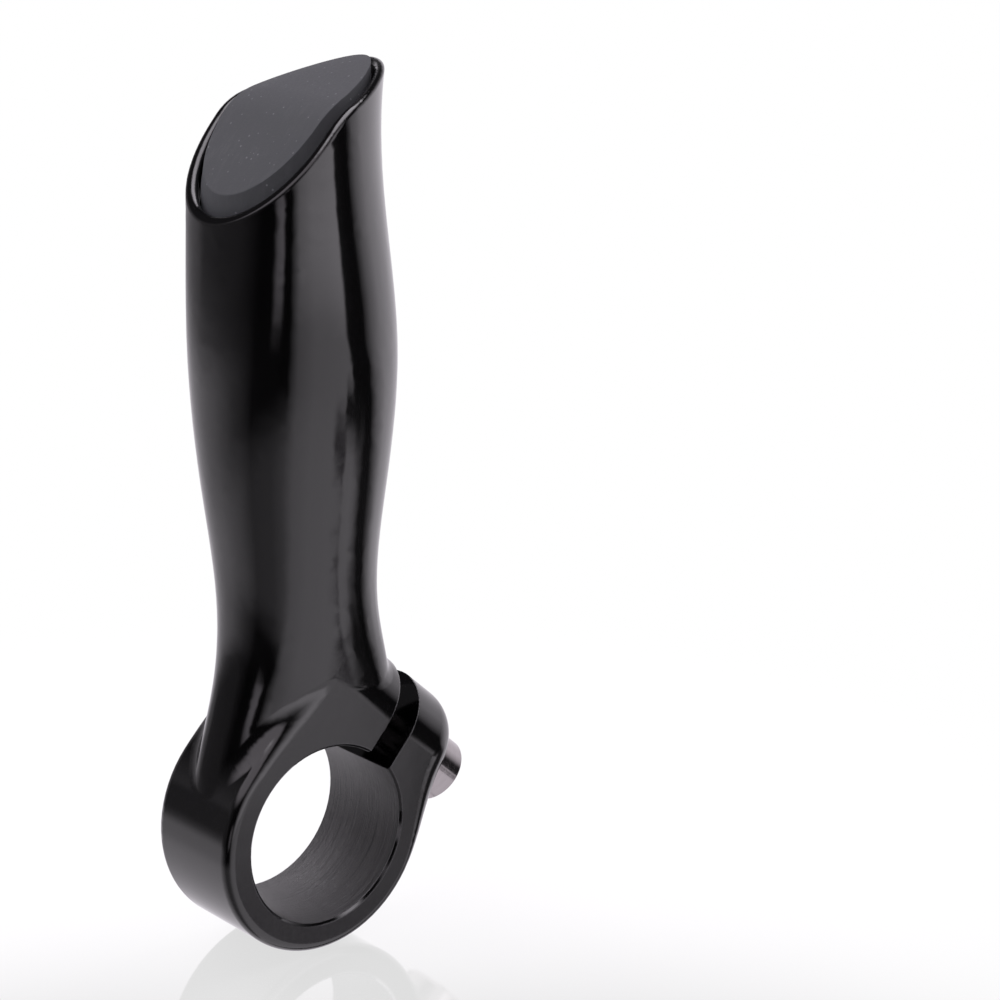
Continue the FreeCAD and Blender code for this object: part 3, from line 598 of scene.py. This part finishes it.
class BAREND_OT_finish_arm(bpy.types.Operator):
    """Give the forged arm its gloss black coating"""
    bl_idname = "barend.finish_arm"
    bl_label = "Finish the Arm"

    def execute(self, context):
        looks = context.scene.bar_end_looks
        material = black_alloy(tuple(looks.alloy_colour), looks.alloy_roughness)
        frame["nodes"]["arm_body"].data.materials.clear()
        frame["nodes"]["arm_body"].data.materials.append(material)
        return {"FINISHED"}


class BAREND_OT_finish_bolt(bpy.types.Operator):
    """Give the clamp bolt its bright plating"""
    bl_idname = "barend.finish_bolt"
    bl_label = "Finish the Bolt"

    def execute(self, context):
        frame["nodes"]["clamp_bolt"].data.materials.clear()
        frame["nodes"]["clamp_bolt"].data.materials.append(bright_steel())
        return {"FINISHED"}


class BAREND_OT_make_plug(bpy.types.Operator):
    """Make the rubber plug with its domed pad and hollow stem"""
    bl_idname = "barend.make_plug"
    bl_label = "Make the Plug"

    def execute(self, context):
        looks = context.scene.bar_end_looks
        rows = plug_rows(looks.pad_crown / MM, looks.pad_edge / MM)
        count, turns = rows.shape[:2]
        plug = finish_piece("rubber_plug", rows.reshape(-1, 3), ring_faces(count, turns),
                            soft_rubber(tuple(looks.rubber_colour)), "bar_end")
        merge_poles(plug)
        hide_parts("end_plug")
        return {"FINISHED"}


class BAREND_OT_make_stage(bpy.types.Operator):
    """Make the pale floor, the soft light and the camera"""
    bl_idname = "barend.make_stage"
    bl_label = "Make the Stage"

    def execute(self, context):
        studio = context.scene.bar_end_studio
        low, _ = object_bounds()
        make_floor(low.z - studio.floor_drop)
        make_sky(context.scene, studio.light_azimuth)
        make_lamps(studio.light_azimuth)
        make_camera(context.scene, studio)
        context.scene.view_settings.view_transform = "Standard"
        return {"FINISHED"}


def make_floor(height):
    """A round white floor, a ring of points x = r cos t, y = r sin t. The camera sees it glow,
    with a little shadow and a mirror's sheen near the part."""
    turn = np.linspace(0.0, 2.0 * math.pi, FLOOR_TURNS, endpoint=False)
    points = np.column_stack([FLOOR_RADIUS * np.cos(turn), FLOOR_RADIUS * np.sin(turn),
                              np.full_like(turn, height)])
    mesh = bpy.data.meshes.new("floor")
    mesh.from_pydata(points.tolist(), [], [list(range(len(turn)))])
    floor = bpy.data.objects.new("floor", mesh)
    bpy.context.scene.collection.objects.link(floor)
    material, tree, shader = new_material("pale_floor")
    shader.inputs["Base Color"].default_value = grey(FLOOR_GREY)
    shader.inputs["Roughness"].default_value, mirror_roughness = FLOOR_ROUGHNESS
    distance = vectors(tree, "LENGTH", object_point(tree))["Value"]
    near = remap(tree, distance, *SHEEN_REACH, smooth=True)
    seen = put(tree, "ShaderNodeLightPath").outputs["Is Camera Ray"]
    glow = put(tree, "ShaderNodeEmission", {"Color": grey(1.0), "Strength": 1.0}).outputs[0]
    share = product(tree, seen, remap(tree, near, 0.0, 1.0, 1.0, FLOOR_GLOW))
    lit = put(tree, "ShaderNodeMixShader", {0: share, 1: shader.outputs[0], 2: glow}).outputs[0]
    mirror = put(tree, "ShaderNodeBsdfGlossy", {"Color": grey(1.0), "Roughness": mirror_roughness})
    sheen = product(tree, seen, near, FLOOR_SHEEN)
    mixed = put(tree, "ShaderNodeMixShader", {0: sheen, 1: lit, 2: mirror.outputs[0]}).outputs[0]
    leave = next(n for n in tree.nodes if n.type == "OUTPUT_MATERIAL")
    tree.links.new(mixed, leave.inputs["Surface"])
    mesh.materials.append(material)
    floor.visible_glossy = False
    floor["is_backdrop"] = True


def make_sky(scene, light_azimuth):
    """White to the camera. Gloss sees a studio of tall soft boxes with dark gaps, made of a ramp
    over the compass angle from the light's azimuth, the floor's white below it, and patches."""
    world = bpy.data.worlds.new("studio")
    scene.world = world
    world.use_nodes = True
    tree = world.node_tree
    tree.nodes.clear()
    way = put(tree, "ShaderNodeTexCoord").outputs["Generated"]
    x, y, z = put(tree, "ShaderNodeSeparateXYZ", {"Vector": way}).outputs
    compass = maths(tree, "SUBTRACT", maths(tree, "ARCTAN2", x, product(tree, y, -1.0)), light_azimuth)
    turn = maths(tree, "WRAP", compass, math.pi, -math.pi)
    rise = maths(tree, "ARCSINE", z)

    def fade(angle, degrees, levels=(0.0, 1.0), smooth=True):
        return remap(tree, angle, *map(math.radians, degrees), *levels, smooth=smooth)

    def patch(under, turn_opens, turn_closes, rise_opens, rise_closes, colour):
        mask = product(tree, window(tree, turn, turn_opens, turn_closes),
                       window(tree, rise, rise_opens, rise_closes))
        return blend_colours(tree, mask, under, colour)

    # The dark gap on the right leans outwards towards the floor
    lean = product(tree, fade(turn, LEAN_TURN),
                   fade(rise, LEAN_RISE, (0.0, math.radians(LEAN_MOST)), smooth=False))
    boxes = compass_levels(tree, maths(tree, "SUBTRACT", turn, lean), BOX_STOPS)
    with_strip = patch(boxes, *STRIP_LIGHT)
    # Above the floor the right-hand box is stronger and the left-hand one weaker
    side = fade(turn, GAIN_TURN, GAIN_LEVELS, smooth=False)
    before_end = fade(turn, GAIN_END, smooth=False)
    gain = maths(tree, "ADD", product(tree, side, before_end, fade(rise, GAIN_RISE)), 1.0)
    raised = put(tree, "ShaderNodeVectorMath", {0: with_strip, "Scale": gain}, operation="SCALE")
    # The floor is dim where the clamp's near face reflects it, and its ear reflects a dark flag
    from_floor = patch(compass_levels(tree, turn, FLOOR_STOPS), *DIM_FLOOR)
    lower = blend_colours(tree, fade(rise, FLOOR_RISE), raised.outputs[0], from_floor)
    lower = patch(lower, *DARK_FLAG)
    level = blend_colours(tree, fade(rise, DARK_RISE), lower, grey(DARK_LEVEL))
    # On the left a dark band at eye level and a bright box above it, which the ring's side shows
    level = patch(patch(level, *LEFT_BAND), *LEFT_BOX)
    # Far behind the part the sky is white, which keeps the floor's sheen as pale as the floor
    far_round = fade(maths(tree, "ABSOLUTE", turn), WHITE_TURN)
    behind = product(tree, far_round, window(tree, rise, *WHITE_RISE))
    level = blend_colours(tree, behind, level, grey(1.0))
    level = blend_colours(tree, fade(rise, CEILING_RISE), level, grey(CEILING_LEVEL))
    seen_in_gloss = vectors(tree, "MULTIPLY", level, SKY_TINT)["Vector"]
    path = put(tree, "ShaderNodeLightPath").outputs
    indirect = blend_colours(tree, path["Is Glossy Ray"], MATT_LIGHT, seen_in_gloss)
    direct = maths(tree, "MAXIMUM", path["Is Camera Ray"], path["Is Transmission Ray"])
    colour = blend_colours(tree, direct, indirect, grey(1.0))
    background = put(tree, "ShaderNodeBackground", {"Color": colour, "Strength": 1.0})
    leave = put(tree, "ShaderNodeOutputWorld")
    tree.links.new(background.outputs[0], leave.inputs["Surface"])


def look_from(azimuth, elevation):
    """Unit vectors to the right, up and back of a viewer at an azimuth and elevation."""
    back = Vector((math.sin(azimuth) * math.cos(elevation), -math.cos(azimuth) * math.cos(elevation),
                   math.sin(elevation)))
    right = Vector((math.cos(azimuth), math.sin(azimuth), 0.0))
    return right, back.cross(right), back


def placed(point, right, up, back):
    """The matrix of a thing at a point, with these axes."""
    return Matrix.Translation(point) @ Matrix((right, up, back)).transposed().to_4x4()


def make_lamps(light_azimuth):
    """Large soft lamps for the matt surfaces: behind on the right and left, and on the left."""
    for name, (turn_deg, rise_deg, distance, width, height, power) in LAMPS.items():
        azimuth = light_azimuth + math.radians(turn_deg)
        right, up, back = look_from(azimuth, math.radians(rise_deg))
        lamp = bpy.data.lights.new(name, "AREA")
        lamp.shape, lamp.size, lamp.size_y, lamp.energy = "RECTANGLE", width, height, power
        holder = bpy.data.objects.new(name, lamp)
        holder.matrix_world = placed(LAMP_AIM + back * distance, right, up, back)
        holder.visible_camera = False
        holder.visible_glossy = False
        bpy.context.scene.collection.objects.link(holder)


def make_camera(scene, studio):
    right, up, back = look_from(studio.camera_azimuth, studio.camera_elevation)
    roll = studio.camera_roll
    rolled_right = math.cos(roll) * right + math.sin(roll) * up
    rolled_up = math.cos(roll) * up - math.sin(roll) * right
    target = right * studio.target_aside + Vector((0.0, 0.0, studio.target_height))
    lens = bpy.data.cameras.new("camera")
    lens.sensor_width, lens.lens = 36.0, studio.lens
    lens.clip_start, lens.clip_end = 0.01, 10.0
    camera = bpy.data.objects.new("camera", lens)
    camera.matrix_world = placed(target + back * studio.camera_distance, rolled_right, rolled_up, back)
    scene.collection.objects.link(camera)
    scene.camera = camera


class BAREND_PT_panel(bpy.types.Panel):
    """Lists the bar end's sizes, colours and steps"""
    bl_idname = "BAREND_PT_panel"
    bl_label = "Bar End"
    bl_space_type = "VIEW_3D"
    bl_region_type = "UI"
    bl_category = "Bar End"

    def draw(self, context):
        for owner in (context.scene.bar_end_looks, context.scene.bar_end_studio):
            box = self.layout.box()
            for name in owner.bl_rna.properties.keys():
                if name not in {"rna_type", "name"}:
                    box.prop(owner, name)
        for step in STEPS:
            self.layout.operator(step.bl_idname)


STEPS = (BAREND_OT_finish_arm, BAREND_OT_finish_bolt, BAREND_OT_make_plug, BAREND_OT_make_stage)
CLASSES = (BarEndLooks, BarEndStudio) + STEPS + (BAREND_PT_panel,)


def register():
    for cls in CLASSES:
        bpy.utils.register_class(cls)
    bpy.types.Scene.bar_end_looks = bpy.props.PointerProperty(type=BarEndLooks)
    bpy.types.Scene.bar_end_studio = bpy.props.PointerProperty(type=BarEndStudio)


def unregister():
    del bpy.types.Scene.bar_end_studio
    del bpy.types.Scene.bar_end_looks
    for cls in reversed(CLASSES):
        bpy.utils.unregister_class(cls)


def main():
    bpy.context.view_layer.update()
    register()
    for step in (bpy.ops.barend.finish_arm, bpy.ops.barend.finish_bolt, bpy.ops.barend.make_plug,
                 bpy.ops.barend.make_stage):
        step()


if __name__ == "__main__":
    main()
